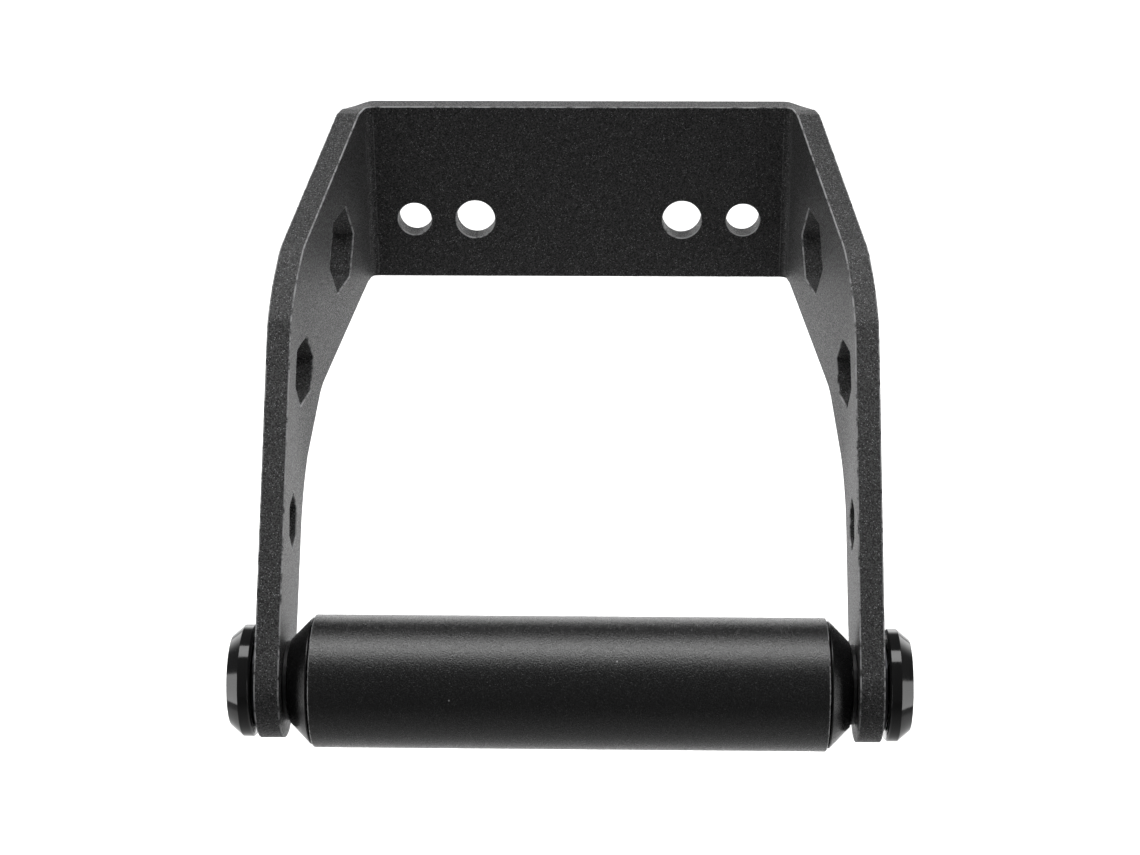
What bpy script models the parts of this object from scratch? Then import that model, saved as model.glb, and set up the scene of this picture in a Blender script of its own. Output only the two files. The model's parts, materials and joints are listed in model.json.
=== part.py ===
"""Roller handle bracket.

A U of thick plate carries one grip that spins on ball bearings between the arm ends.
Metres, +Z up. X runs along the grip, the back of the web faces +Y, and the origin is the centre
of that back face, where the bracket is bolted on. The grip hangs in front of the web and below it.
"""
import math

import bmesh
import bpy
from mathutils import Matrix, Vector

# Clearance between pieces that touch, and between pieces that turn past each other
GAP = 0.0003
RUNNING = 0.0004

# Plate and web
PLATE = 0.006
WEB_HEIGHT = 0.048
WEB_HALF_WIDTH = 0.0565
BEND_RADIUS = 0.002

# Round holes through the web: distance in from the arm's inner face, diameter
WEB_HOLES = ((0.0285, 0.0105), (0.012, 0.009))
WEB_HOLE_DROP = 0.0075

# Arms, seen from the side: the top edge stays level past the bend, then slopes to the elbow
TOP_LEVEL = 0.0065
BOTTOM_LEVEL = 0.005
ELBOW_UPPER = (-0.0604, -0.0153)
ELBOW_LOWER = (-0.0747, -0.0285)
ELBOW_WIDTH = 0.0416
ELBOW_LEAN = math.radians(11.5)
ELBOW_ROUND = 0.012
CORNER_ROUND = 0.003
ARM_END_RADIUS = 0.0137

# Arms, seen from above: they open outward as far as the fold, a soft bend that turns them parallel
GRIP_SPAN = 0.137
FOLD_Y = -0.0755
FOLD_RADIUS = 0.075

# Hexagonal holes in each arm: place along Y and Z, width across the corners
HEX_HOLES = ((-0.0334, -0.0066, 0.0228), (-0.0700, -0.0255, 0.0176), (-0.0948, -0.0551, 0.0140))
HEX_TURN = math.radians(62.5)

# Axle line
AXLE_Y = -0.119
AXLE_Z = -0.086
AXLE_DIAMETER = 0.012
AXLE_END_INSET = 0.0006

# Grip: its length is what the span leaves between two cones and their flanges
GRIP_DIAMETER = 0.032
GRIP_EDGE = 0.0003
GRIP_SHOULDER = 0.0013
CONE_LENGTH = 0.0053
CONE_RIM = 0.0026
CONE_END_WALL = 0.0038

# Ball bearings
BEARING_OUTER_DIAMETER = 0.024
BEARING_WIDTH = 0.006
BEARING_INSET = 0.0035
RING_SPACE = 0.0027
BALL_DIAMETER = 0.0032
BALL_COUNT = 9
SHIELD_THICKNESS = 0.0004
SHIELD_INSET = 0.0003
CAGE_WALL = 0.0009
CAGE_WIDTH = 0.0022

# Sleeves, bushes, seals and washers on the axle
SLEEVE_WALL = 0.001
BUSH_WALL = 0.0014
FLANGE_THICKNESS = 0.0008
FLANGE_WIDTH = 0.0019
SEAL_WALL = 0.0017
SEAL_WIDTH = 0.003
WASHER_DIAMETER = 0.022
WASHER_THICKNESS = 0.0005

# Axle screws with their large round heads
HEAD_DIAMETER = 0.027
HEAD_THICKNESS = 0.0058
HEAD_CHAMFER = 0.0025
HEAD_CHAMFER_LENGTH = 0.003
HEAD_INNER_BEVEL = 0.0005
SCREW_DIAMETER = 0.008
SCREW_REACH = 0.018
TAP_MARGIN = 0.003
SOCKET_WIDTH = 0.008
SOCKET_DEPTH = 0.004

# Facets round a full turn
FINE_STEPS = 48
INNER_STEPS = 28
GROOVE_STEPS = 4
BALL_SEGMENTS = 8
BALL_RINGS = 6
ARC_STEPS = 6

# Points closer than this are one point
MERGE = 1e-6

SIDES = (("left", -1), ("right", 1))

# Places along X, measured from the middle of the grip outward
ARM_INNER = GRIP_SPAN / 2
ARM_FLARE = math.atan2(ARM_INNER - WEB_HALF_WIDTH, -PLATE - FOLD_Y)
ARM_OUTER = ARM_INNER + PLATE
FLANGE_START = ARM_INNER - GAP - FLANGE_THICKNESS
CONE_END = FLANGE_START - GAP
CONE_START = CONE_END - CONE_LENGTH
GRIP_END = CONE_START - GAP
BEARING_END = GRIP_END - BEARING_INSET
BEARING_START = BEARING_END - BEARING_WIDTH
BEARING_MIDDLE = (BEARING_START + BEARING_END) / 2
HEAD_START = ARM_OUTER + GAP + WASHER_THICKNESS + GAP

# Radii about the axle line
AXLE_RADIUS = AXLE_DIAMETER / 2
ON_AXLE = AXLE_RADIUS + GAP
SLEEVE_OUTER = ON_AXLE + SLEEVE_WALL
BUSH_OUTER = ON_AXLE + BUSH_WALL
GRIP_RADIUS = GRIP_DIAMETER / 2
BEARING_RADIUS = BEARING_OUTER_DIAMETER / 2
SEAT_RADIUS = BEARING_RADIUS + GAP
BALL_TRACK = (ON_AXLE + BEARING_RADIUS) / 2
INNER_RING_OUTER = BALL_TRACK - RING_SPACE / 2
OUTER_RING_INNER = BALL_TRACK + RING_SPACE / 2
GROOVE_RADIUS = BALL_DIAMETER / 2 + GAP
SCREW_RADIUS = SCREW_DIAMETER / 2


def clear_scene():
    for obj in list(bpy.data.objects):
        bpy.data.objects.remove(obj, do_unlink=True)


def new_collection(name, helper=False):
    collection = bpy.data.collections.new(name)
    collection.hide_render = helper
    bpy.context.scene.collection.children.link(collection)
    return collection


def finish_material(name, color, roughness, metallic):
    material = bpy.data.materials.new(name)
    material.use_nodes = True
    shader = material.node_tree.nodes["Principled BSDF"]
    shader.inputs["Base Color"].default_value = (*color, 1.0)
    shader.inputs["Roughness"].default_value = roughness
    shader.inputs["Metallic"].default_value = metallic
    return material


FINISHES = {
    "powder_coat": ((0.030, 0.030, 0.031), 0.62, 0.0),
    "anodised": ((0.022, 0.022, 0.023), 0.38, 0.6),
    "gloss_black": ((0.012, 0.012, 0.013), 0.12, 0.3),
    "bright_steel": ((0.55, 0.56, 0.58), 0.28, 1.0),
    "zinc": ((0.42, 0.43, 0.45), 0.42, 1.0),
    "black_polymer": ((0.020, 0.020, 0.021), 0.50, 0.0),
    "felt": ((0.10, 0.10, 0.10), 0.95, 0.0),
}


def dress(obj, finish):
    """Give a piece a material of its own in the named finish."""
    color, roughness, metallic = FINISHES[finish]
    obj.data.materials.clear()
    obj.data.materials.append(finish_material(obj.name + "_" + finish, color, roughness, metallic))


def shade_round(mesh):
    mesh.shade_smooth()
    mesh.set_sharp_from_angle(angle=math.radians(32))


# ---------------------------------------------------------------- outlines


def fillet(points, radii):
    """Closed outline with each corner replaced by an arc of its own radius."""
    outline = []
    count = len(points)
    for index, radius in enumerate(radii):
        corner = Vector(points[index])
        back = (Vector(points[index - 1]) - corner).normalized()
        ahead = (Vector(points[(index + 1) % count]) - corner).normalized()
        if radius == 0:
            outline.append(corner)
            continue
        half = back.angle(ahead) / 2
        centre = corner + (back + ahead).normalized() * (radius / math.sin(half))
        start = corner + back * (radius / math.tan(half)) - centre
        sweep = start.angle_signed(corner + ahead * (radius / math.tan(half)) - centre)
        for step in range(ARC_STEPS + 1):
            turned = Matrix.Rotation(-sweep * step / ARC_STEPS, 2) @ start
            outline.append(centre + turned)
    return outline


def tangent_point(outside, centre, radius, side):
    """Where the line from an outside point touches a circle, on the chosen side."""
    to_point = Vector(outside) - Vector(centre)
    angle = math.atan2(to_point.y, to_point.x) + side * math.acos(radius / to_point.length)
    return Vector(centre) + radius * Vector((math.cos(angle), math.sin(angle)))


def arc(centre, radius, start, end, steps):
    return [
        Vector(centre) + radius * Vector((math.cos(a), math.sin(a)))
        for a in (start + (end - start) * step / steps for step in range(steps + 1))
    ]


def extruded(name, outline, depth, turn, collection):
    """Solid of a flat outline, extruded both ways along its own normal and turned into place."""
    curve = bpy.data.curves.new(name + "_outline", "CURVE")
    curve.dimensions = "2D"
    curve.fill_mode = "BOTH"
    curve.extrude = depth / 2
    spline = curve.splines.new("POLY")
    spline.points.add(len(outline) - 1)
    for point, place in zip(spline.points, outline):
        point.co = (place[0], place[1], 0, 1)
    spline.use_cyclic_u = True
    guide = bpy.data.objects.new(name + "_outline", curve)
    guide.matrix_world = turn
    collection.objects.link(guide)
    bpy.context.view_layer.update()
    graph = bpy.context.evaluated_depsgraph_get()
    mesh = bpy.data.meshes.new_from_object(guide.evaluated_get(graph))
    solid = bpy.data.objects.new(name, mesh)
    solid.matrix_world = guide.matrix_world
    collection.objects.link(solid)
    bpy.data.objects.remove(guide, do_unlink=True)
    form = bmesh.new()
    form.from_mesh(mesh)
    bmesh.ops.remove_doubles(form, verts=form.verts, dist=MERGE)
    bmesh.ops.recalc_face_normals(form, faces=form.faces)
    form.to_mesh(mesh)
    form.free()
    return solid


# ---------------------------------------------------------------- cutters and booleans


def cylinder_cutter(name, radius, depth, place, axis, collection, segments=FINE_STEPS, turn=0.0):
    """Straight round or many-sided cutter lying along X or Y."""
    mesh = bpy.data.meshes.new(name)
    form = bmesh.new()
    bmesh.ops.create_cone(
        form, cap_ends=True, segments=segments, radius1=radius, radius2=radius, depth=depth
    )
    form.to_mesh(mesh)
    form.free()
    cutter = bpy.data.objects.new(name, mesh)
    lay = Matrix.Rotation(math.radians(90), 4, "Y" if axis == "X" else "X")
    cutter.matrix_world = Matrix.Translation(place) @ Matrix.Rotation(turn, 4, axis) @ lay
    hide(cutter)
    collection.objects.link(cutter)
    return cutter


def hide(helper):
    helper.hide_render = True
    helper.display_type = "WIRE"


def cut(obj, other, operation="DIFFERENCE"):
    modifier = obj.modifiers.new(other.name, "BOOLEAN")
    modifier.operation = operation
    modifier.object = other


# ---------------------------------------------------------------- bracket


def arm_outline():
    """Side view of web and arm in (y, z): level top, slope to the elbow, straight to the round end."""
    half = WEB_HEIGHT / 2
    lean = Vector((-math.sin(ELBOW_LEAN), math.cos(ELBOW_LEAN))) * ELBOW_WIDTH / 2
    front = [Vector(point) + lean for point in (ELBOW_UPPER, ELBOW_LOWER)]
    back = [Vector(point) - lean for point in (ELBOW_UPPER, ELBOW_LOWER)]
    axle = (AXLE_Y, AXLE_Z)
    front_touch = tangent_point(front[1], axle, ARM_END_RADIUS, 1)
    back_touch = tangent_point(back[1], axle, ARM_END_RADIUS, -1)
    start = math.atan2(front_touch.y - AXLE_Z, front_touch.x - AXLE_Y)
    end = math.atan2(back_touch.y - AXLE_Z, back_touch.x - AXLE_Y)
    if start < 0:
        start += 2 * math.pi
    if end < start:
        end += 2 * math.pi
    corners = [
        (PLATE, half), (-PLATE - TOP_LEVEL, half), front[0], front[1], front_touch,
        back_touch, back[1], back[0], (-PLATE - BOTTOM_LEVEL, -half), (PLATE, -half),
    ]
    radii = [0, CORNER_ROUND, ELBOW_ROUND, ELBOW_ROUND, 0, 0, ELBOW_ROUND, ELBOW_ROUND, CORNER_ROUND, 0]
    outline = fillet(corners, radii)
    touch = outline.index(Vector(front_touch))
    end_round = arc(axle, ARM_END_RADIUS, start, end, 4 * ARC_STEPS)[1:-1]
    return outline[: touch + 1] + end_round + outline[touch + 1:]


def strip_side(offset):
    """Top view of one face of the right half of the plate, from the middle of the web forward.

    offset is 0 on the inner face and the plate's thickness on the outer one. The face runs along
    the web, turns through the tight bend, opens outward, and turns parallel in the wide one.
    """
    inner = BEND_RADIUS + offset
    bend = math.pi / 2 - ARM_FLARE
    setback = BEND_RADIUS * math.tan(bend / 2)
    bend_centre = (WEB_HALF_WIDTH - setback, -PLATE - BEND_RADIUS)
    fold_centre = (ARM_INNER - FOLD_RADIUS, FOLD_Y - FOLD_RADIUS * math.tan(ARM_FLARE / 2))
    face = [Vector((0, -PLATE + offset))]
    face += arc(bend_centre, inner, math.pi / 2, ARM_FLARE, 2 * ARC_STEPS)
    face += arc(fold_centre, FOLD_RADIUS + offset, ARM_FLARE, 0, ARC_STEPS)
    face.append(Vector((ARM_INNER + offset, AXLE_Y - 2 * ARM_END_RADIUS)))
    return face


def make_bracket(parts, helpers):
    inner = strip_side(0)
    outer = strip_side(PLATE)
    right = inner[1:] + outer[:0:-1]
    left = [Vector((-p.x, p.y)) for p in reversed(right)]
    blank_height = 2 * (WEB_HEIGHT - AXLE_Z + ARM_END_RADIUS)
    strip = extruded("bracket", right + left, blank_height, Matrix.Identity(4), parts)
    # The outline's own x and y become Y and Z, and it is extruded along X past both arms
    outline_turn = Matrix(((0, 0, 1, 0), (1, 0, 0, 0), (0, 1, 0, 0), (0, 0, 0, 1)))
    across = 2 * GRIP_SPAN
    side = extruded("arm_outline_cutter", arm_outline(), across, outline_turn, helpers)
    hide(side)
    cut(strip, side, "INTERSECT")
    for index, (margin, diameter) in enumerate(WEB_HOLES):
        for name, sign in SIDES:
            place = (sign * (WEB_HALF_WIDTH - margin), -PLATE / 2, -WEB_HOLE_DROP)
            hole = cylinder_cutter(f"web_hole_{index}_{name}", diameter / 2, 3 * PLATE, place, "Y", helpers)
            cut(strip, hole)
    for index, (y, z, width) in enumerate(HEX_HOLES):
        name = f"hex_hole_{index}"
        cut(strip, cylinder_cutter(name, width / 2, across, (0, y, z), "X", helpers, 6, -HEX_TURN))
    place = (0, AXLE_Y, AXLE_Z)
    cut(strip, cylinder_cutter("axle_bore", BUSH_OUTER + GAP, across, place, "X", helpers))
    dress(strip, "powder_coat")
    return strip


# ---------------------------------------------------------------- turned pieces on the axle


def turned(name, profile, finish, parts, sign=1, steps=INNER_STEPS):
    """Piece turned about the axle line from (distance along X, radius) points of one half-section.

    The section is given for the right-hand side; sign -1 makes the left-hand twin. A section that
    starts and ends on the axis is left open there, any other is closed into a ring.
    """
    mesh = bpy.data.meshes.new(name)
    form = bmesh.new()
    ring = profile[0][1] > 0
    verts = [form.verts.new((radius, 0, sign * along)) for along, radius in profile]
    pairs = list(zip(verts, verts[1:]))
    if ring:
        pairs.append((verts[-1], verts[0]))
    for pair in pairs:
        form.edges.new(pair)
    form.to_mesh(mesh)
    form.free()
    piece = bpy.data.objects.new(name, mesh)
    parts.objects.link(piece)
    screw = piece.modifiers.new("turn", "SCREW")
    screw.axis = "Z"
    screw.steps = steps
    screw.render_steps = steps
    screw.use_merge_vertices = True
    screw.merge_threshold = MERGE
    bpy.context.view_layer.update()
    graph = bpy.context.evaluated_depsgraph_get()
    solid = bpy.data.meshes.new_from_object(piece.evaluated_get(graph))
    piece.modifiers.clear()
    piece.data = solid
    bpy.data.meshes.remove(mesh)
    form = bmesh.new()
    form.from_mesh(solid)
    bmesh.ops.remove_doubles(form, verts=form.verts, dist=MERGE)
    bmesh.ops.recalc_face_normals(form, faces=form.faces)
    form.to_mesh(solid)
    form.free()
    piece.rotation_euler = (0, math.radians(90), 0)
    piece.location = (0, AXLE_Y, AXLE_Z)
    shade_round(solid)
    dress(piece, finish)
    return piece


def box_section(start, end, inner, outer):
    return [(start, outer), (end, outer), (end, inner), (start, inner)]


def groove(shoulder, toward):
    """Arc of the ball track cut into a ring's face, as (distance along X, radius) points."""
    reach = math.acos((BALL_TRACK - shoulder) * toward / GROOVE_RADIUS)
    angles = [-reach + 2 * reach * step / GROOVE_STEPS for step in range(GROOVE_STEPS + 1)]
    return [
        (BEARING_MIDDLE + GROOVE_RADIUS * math.sin(a), BALL_TRACK - toward * GROOVE_RADIUS * math.cos(a))
        for a in angles
    ]


def make_bearing(name, sign, parts, helpers):
    track = groove(INNER_RING_OUTER, 1)
    inner = [(BEARING_START, ON_AXLE), (BEARING_START, INNER_RING_OUTER), *track]
    inner += [(BEARING_END, INNER_RING_OUTER), (BEARING_END, ON_AXLE)]
    turned(f"bearing_inner_ring_{name}", inner, "bright_steel", parts, sign)
    track = groove(OUTER_RING_INNER, -1)
    outer = [(BEARING_START, BEARING_RADIUS), (BEARING_START, OUTER_RING_INNER), *track]
    outer += [(BEARING_END, OUTER_RING_INNER), (BEARING_END, BEARING_RADIUS)]
    turned(f"bearing_outer_ring_{name}", outer, "bright_steel", parts, sign)
    shield_inner, shield_outer = INNER_RING_OUTER + GAP, OUTER_RING_INNER - GAP
    faces = (
        ("inner", BEARING_START + SHIELD_INSET),
        ("outer", BEARING_END - SHIELD_INSET - SHIELD_THICKNESS),
    )
    for face, start in faces:
        section = box_section(start, start + SHIELD_THICKNESS, shield_inner, shield_outer)
        turned(f"bearing_shield_{face}_{name}", section, "zinc", parts, sign)
    make_ball_row(name, sign, parts, helpers)


def make_ball_row(name, sign, parts, helpers):
    """Balls and the cage that spaces them, joined as one piece that runs round between the rings."""
    half = CAGE_WIDTH / 2
    section = box_section(
        BEARING_MIDDLE - half, BEARING_MIDDLE + half, BALL_TRACK - CAGE_WALL / 2, BALL_TRACK + CAGE_WALL / 2
    )
    row = turned(f"ball_row_{name}", section, "bright_steel", parts, sign, BALL_COUNT * 4)
    balls = bpy.data.meshes.new(f"balls_{name}")
    form = bmesh.new()
    for index in range(BALL_COUNT):
        angle = 2 * math.pi * index / BALL_COUNT
        place = Vector((BALL_TRACK * math.cos(angle), BALL_TRACK * math.sin(angle), sign * BEARING_MIDDLE))
        bmesh.ops.create_uvsphere(
            form, u_segments=BALL_SEGMENTS, v_segments=BALL_RINGS, radius=BALL_DIAMETER / 2,
            matrix=Matrix.Translation(place),
        )
    form.to_mesh(balls)
    form.free()
    cluster = bpy.data.objects.new(f"balls_{name}", balls)
    cluster.matrix_world = Matrix.Translation((0, AXLE_Y, AXLE_Z)) @ Matrix.Rotation(math.pi / 2, 4, "Y")
    hide(cluster)
    helpers.objects.link(cluster)
    cut(row, cluster, "UNION")


def make_grip(parts):
    """Tube with a bearing seat bored in each end, as far as the shoulder the bearing rests on."""
    shoulder = BEARING_START - GAP
    bore = SEAT_RADIUS - GRIP_SHOULDER
    half = [
        (shoulder, bore), (shoulder, SEAT_RADIUS), (GRIP_END, SEAT_RADIUS),
        (GRIP_END, GRIP_RADIUS - GRIP_EDGE), (GRIP_END - GRIP_EDGE, GRIP_RADIUS),
    ]
    section = half + [(-along, radius) for along, radius in reversed(half)]
    turned("roller_tube", section, "anodised", parts, 1, FINE_STEPS)


def make_end_cone(name, sign, parts):
    """Coned plug that holds the bearing in, with a felt seal in a pocket behind its end wall."""
    spigot_start = BEARING_END + GAP
    bore = SLEEVE_OUTER + RUNNING
    pocket = SLEEVE_OUTER + GAP + SEAL_WALL + GAP
    wall = CONE_END - CONE_END_WALL
    section = [
        (spigot_start, BEARING_RADIUS), (CONE_START, BEARING_RADIUS), (CONE_START, GRIP_RADIUS - GRIP_EDGE),
        (CONE_END, bore + CONE_RIM), (CONE_END, bore), (wall, bore), (wall, pocket), (spigot_start, pocket),
    ]
    turned(f"end_cone_{name}", section, "anodised", parts, sign, FINE_STEPS)
    seal_end = wall - GAP
    seal = box_section(seal_end - SEAL_WIDTH, seal_end, SLEEVE_OUTER + GAP, pocket - GAP)
    turned(f"felt_seal_{name}", seal, "felt", parts, sign)


def make_axle(parts):
    """Solid shaft, tapped from both ends a little deeper than the screws reach."""
    end = ARM_OUTER - AXLE_END_INSET
    tap = SCREW_RADIUS + GAP
    drilled = HEAD_START - SCREW_REACH - TAP_MARGIN
    half = [(drilled, 0), (drilled, tap), (end, tap), (end, AXLE_RADIUS)]
    section = half + [(-along, radius) for along, radius in reversed(half)]
    turned("axle_shaft", section, "bright_steel", parts)


def make_axle_screw(name, sign, parts, helpers):
    radius = HEAD_DIAMETER / 2
    end = HEAD_START + HEAD_THICKNESS
    tip = HEAD_START - SCREW_REACH
    section = [
        (tip, 0), (tip, SCREW_RADIUS), (HEAD_START, SCREW_RADIUS),
        (HEAD_START, radius - HEAD_INNER_BEVEL), (HEAD_START + HEAD_INNER_BEVEL, radius),
        (end - HEAD_CHAMFER_LENGTH, radius), (end, radius - HEAD_CHAMFER), (end, 0),
    ]
    screw = turned(f"axle_screw_{name}", section, "gloss_black", parts, sign, FINE_STEPS)
    across_corners = SOCKET_WIDTH / math.cos(math.radians(30))
    place = (sign * end, AXLE_Y, AXLE_Z)
    socket = cylinder_cutter(
        f"socket_{name}", across_corners / 2, 2 * SOCKET_DEPTH, place, "X", helpers, 6
    )
    cut(screw, socket)


def make_axle_stack(name, sign, parts):
    """Washer, bush and distance sleeve that the screw clamps between its head and the bearing."""
    washer = box_section(ARM_OUTER + GAP, HEAD_START - GAP, SCREW_RADIUS + GAP, WASHER_DIAMETER / 2)
    turned(f"head_washer_{name}", washer, "zinc", parts, sign)
    flange_end = FLANGE_START + FLANGE_THICKNESS
    bush = [
        (FLANGE_START, BUSH_OUTER + FLANGE_WIDTH), (flange_end, BUSH_OUTER + FLANGE_WIDTH),
        (flange_end, BUSH_OUTER), (ARM_OUTER - GAP, BUSH_OUTER),
        (ARM_OUTER - GAP, ON_AXLE), (FLANGE_START, ON_AXLE),
    ]
    turned(f"arm_bush_{name}", bush, "black_polymer", parts, sign)
    sleeve = box_section(BEARING_END + GAP, FLANGE_START - GAP, ON_AXLE, SLEEVE_OUTER)
    turned(f"distance_sleeve_{name}", sleeve, "zinc", parts, sign)


def main():
    clear_scene()
    parts = new_collection("roller_handle_bracket")
    helpers = new_collection("cutters", helper=True)
    make_bracket(parts, helpers)
    make_axle(parts)
    make_grip(parts)
    spacer_end = BEARING_START - GAP
    turned("inner_spacer", box_section(-spacer_end, spacer_end, ON_AXLE, SLEEVE_OUTER), "zinc", parts)
    for name, sign in SIDES:
        make_bearing(name, sign, parts, helpers)
        make_end_cone(name, sign, parts)
        make_axle_stack(name, sign, parts)
        make_axle_screw(name, sign, parts, helpers)


main()
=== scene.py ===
import json
from math import atan2, cos, pi, radians, sin, tan

import bmesh
import bpy
import numpy as np
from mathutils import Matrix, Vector
from mathutils.geometry import delaunay_2d_cdt


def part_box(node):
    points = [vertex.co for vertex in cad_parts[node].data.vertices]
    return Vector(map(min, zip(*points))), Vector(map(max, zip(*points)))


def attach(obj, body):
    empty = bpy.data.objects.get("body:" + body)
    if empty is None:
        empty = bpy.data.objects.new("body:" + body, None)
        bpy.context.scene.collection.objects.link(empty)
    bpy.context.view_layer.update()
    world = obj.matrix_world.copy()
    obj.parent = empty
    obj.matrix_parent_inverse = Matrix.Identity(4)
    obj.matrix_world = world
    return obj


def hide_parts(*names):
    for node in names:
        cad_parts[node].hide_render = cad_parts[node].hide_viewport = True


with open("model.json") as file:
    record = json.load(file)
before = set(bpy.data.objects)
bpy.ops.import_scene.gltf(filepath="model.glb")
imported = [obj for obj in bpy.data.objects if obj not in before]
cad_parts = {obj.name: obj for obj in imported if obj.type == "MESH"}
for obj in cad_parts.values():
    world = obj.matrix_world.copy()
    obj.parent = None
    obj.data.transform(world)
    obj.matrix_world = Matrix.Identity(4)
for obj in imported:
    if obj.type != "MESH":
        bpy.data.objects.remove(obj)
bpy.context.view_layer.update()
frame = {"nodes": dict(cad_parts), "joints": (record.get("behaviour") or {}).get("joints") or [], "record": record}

# Roller handle bracket: a U of powder-coated plate, with a black grip that spins between its arms.
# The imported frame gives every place, and the pieces made here stand for its plain ones.

scene = bpy.context.scene
_, axleY, axleZ = frame["joints"][0]["pos_m"]
gap = 0.0003  # between pieces that touch
print("frame loaded:", len(frame["nodes"]), "nodes")


def gridFaces(rows, columns, rowsClosed=False, columnsClosed=False):
    # one quad for each step of the two parameters, wrapped where a direction is closed
    i, j = np.meshgrid(np.arange(rows - (not rowsClosed)), np.arange(columns - (not columnsClosed)),
                       indexing="ij")
    nextI, nextJ = (i + 1) % rows, (j + 1) % columns
    corners = [i * columns + j, nextI * columns + j, nextI * columns + nextJ, i * columns + nextJ]
    return np.stack(corners, -1).reshape(-1, 4)


def wholeFaces(faces):
    # a face with one side shrunk to a point loses that corner, and one with no area left is dropped
    shrunk = faces == np.roll(faces, -1, 1)
    sides = shrunk.sum(1)
    kept = faces[sides == 0].tolist()
    if faces.shape[1] == 4:
        kept += faces[sides == 1][~shrunk[sides == 1]].reshape(-1, 3).tolist()
    return kept


weldDistance = 1e-7


def meshPiece(name, points, faceSets, body, replaced, material, sharpAngle=40, edges=None):
    # welds the points that fall together, turns the faces outward, and hands the piece over;
    # edges holds how much painted highlight each point on a rounded edge gets, from 0 to 1
    keys = np.round(points / weldDistance).astype(np.int64)
    _, first, index = np.unique(keys, axis=0, return_index=True, return_inverse=True)
    index = index.reshape(-1)
    mesh = bpy.data.meshes.new(name)
    faces = [face for faces in faceSets for face in wholeFaces(index[faces])]
    mesh.from_pydata(points[first].tolist(), [], faces)
    if edges is not None:
        edgeLit = mesh.attributes.new("edge", "FLOAT", "POINT")
        edgeLit.data.foreach_set("value", edges[first].astype(np.float32))
    form = bmesh.new()
    form.from_mesh(mesh)
    bmesh.ops.recalc_face_normals(form, faces=form.faces)
    form.to_mesh(mesh)
    form.free()
    mesh.shade_smooth()
    mesh.set_sharp_from_angle(angle=radians(sharpAngle))
    mesh.materials.append(material)
    piece = bpy.data.objects.new(name, mesh)
    scene.collection.objects.link(piece)
    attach(piece, body)
    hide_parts(replaced)


def roundedLoop(corners, radii, steps=6):
    # closed outline: each corner becomes an arc of its own radius, tangent to both its sides
    corners = np.asarray(corners, float)
    points = []
    for before, corner, after, radius in zip(np.roll(corners, 1, 0), corners, np.roll(corners, -1, 0), radii):
        if radius == 0:
            points.append(corner[None])
            continue
        back = (before - corner) / np.linalg.norm(before - corner)
        ahead = (after - corner) / np.linalg.norm(after - corner)
        half = np.arccos(np.clip(back @ ahead, -1, 1)) / 2
        middle = (back + ahead) / np.linalg.norm(back + ahead)
        centre = corner + middle * radius / sin(half)
        start, end = back * radius / tan(half) + corner - centre, ahead * radius / tan(half) + corner - centre
        sweep = np.arctan2(start[0] * end[1] - start[1] * end[0], start @ end)
        angle = sweep * np.linspace(0, 1, steps + 1)[:, None]
        across = np.array([-start[1], start[0]])
        points.append(centre + start * np.cos(angle) + across * np.sin(angle))
    return np.concatenate(points)


def subdivided(loop, stepOf):
    # extra points along each side of a closed outline, no farther apart than stepOf gives at its middle
    ahead = np.roll(loop, -1, 0)
    length = np.linalg.norm(ahead - loop, axis=1)
    count = np.maximum(1, np.ceil(length / stepOf((loop + ahead) / 2) - 1e-6)).astype(int)
    side = np.repeat(np.arange(len(loop)), count)
    share = (np.arange(count.sum()) - np.repeat(np.cumsum(count) - count, count)) / count[side]
    return loop[side] + (ahead - loop)[side] * share[:, None]


def addNode(tree, kind, inputs=None, **settings):
    # an input is either linked, where it is given another node's output, or set
    node = tree.nodes.new(kind)
    for setting, value in settings.items():
        setattr(node, setting, value)
    for socket, value in (inputs or {}).items():
        if isinstance(value, bpy.types.NodeSocket):
            tree.links.new(value, node.inputs[socket])
        else:
            node.inputs[socket].default_value = value
    return node


def newGroup(name, inputs, outputs):
    tree = bpy.data.node_groups.new(name, "ShaderNodeTree")
    for label, kind, value in inputs:
        socket = tree.interface.new_socket(label, in_out="INPUT", socket_type=kind)
        if value is not None:
            socket.default_value = value
    for label, kind in outputs:
        tree.interface.new_socket(label, in_out="OUTPUT", socket_type=kind)
    return tree, tree.nodes.new("NodeGroupInput").outputs, tree.nodes.new("NodeGroupOutput").inputs


def stepMask(tree, value, low, high):
    # 0 at low, 1 at high, smooth between
    return addNode(tree, "ShaderNodeMapRange", {"Value": value, "From Min": low, "From Max": high},
                   interpolation_type="SMOOTHSTEP").outputs["Result"]


def product(tree, first, second):
    return addNode(tree, "ShaderNodeMath", {0: first, 1: second}, operation="MULTIPLY").outputs[0]


def someCells(tree, cells, channel, share):
    # 1 in the given share of a Voronoi pattern's cells, picked by one channel of their random colour
    picked = addNode(tree, "ShaderNodeSeparateColor", {"Color": cells.outputs["Color"]}).outputs[channel]
    return addNode(tree, "ShaderNodeMath", {0: picked, 1: share}, operation="LESS_THAN").outputs[0]


# offAxis turns the noise, so that it shows no rows on flat faces; pairs are where a mask starts and is full
grainLook = {
    "offAxis": (0.43, 0.71, 0.29), "pebbleRoughness": 0.62, "pebbleBand": (0.36, 0.66),
    "fleckReach": (0.42, 0.12), "fleckHeight": 0.35, "cloudsPerMetre": 38.0, "cloudRoughness": 0.55,
}


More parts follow.
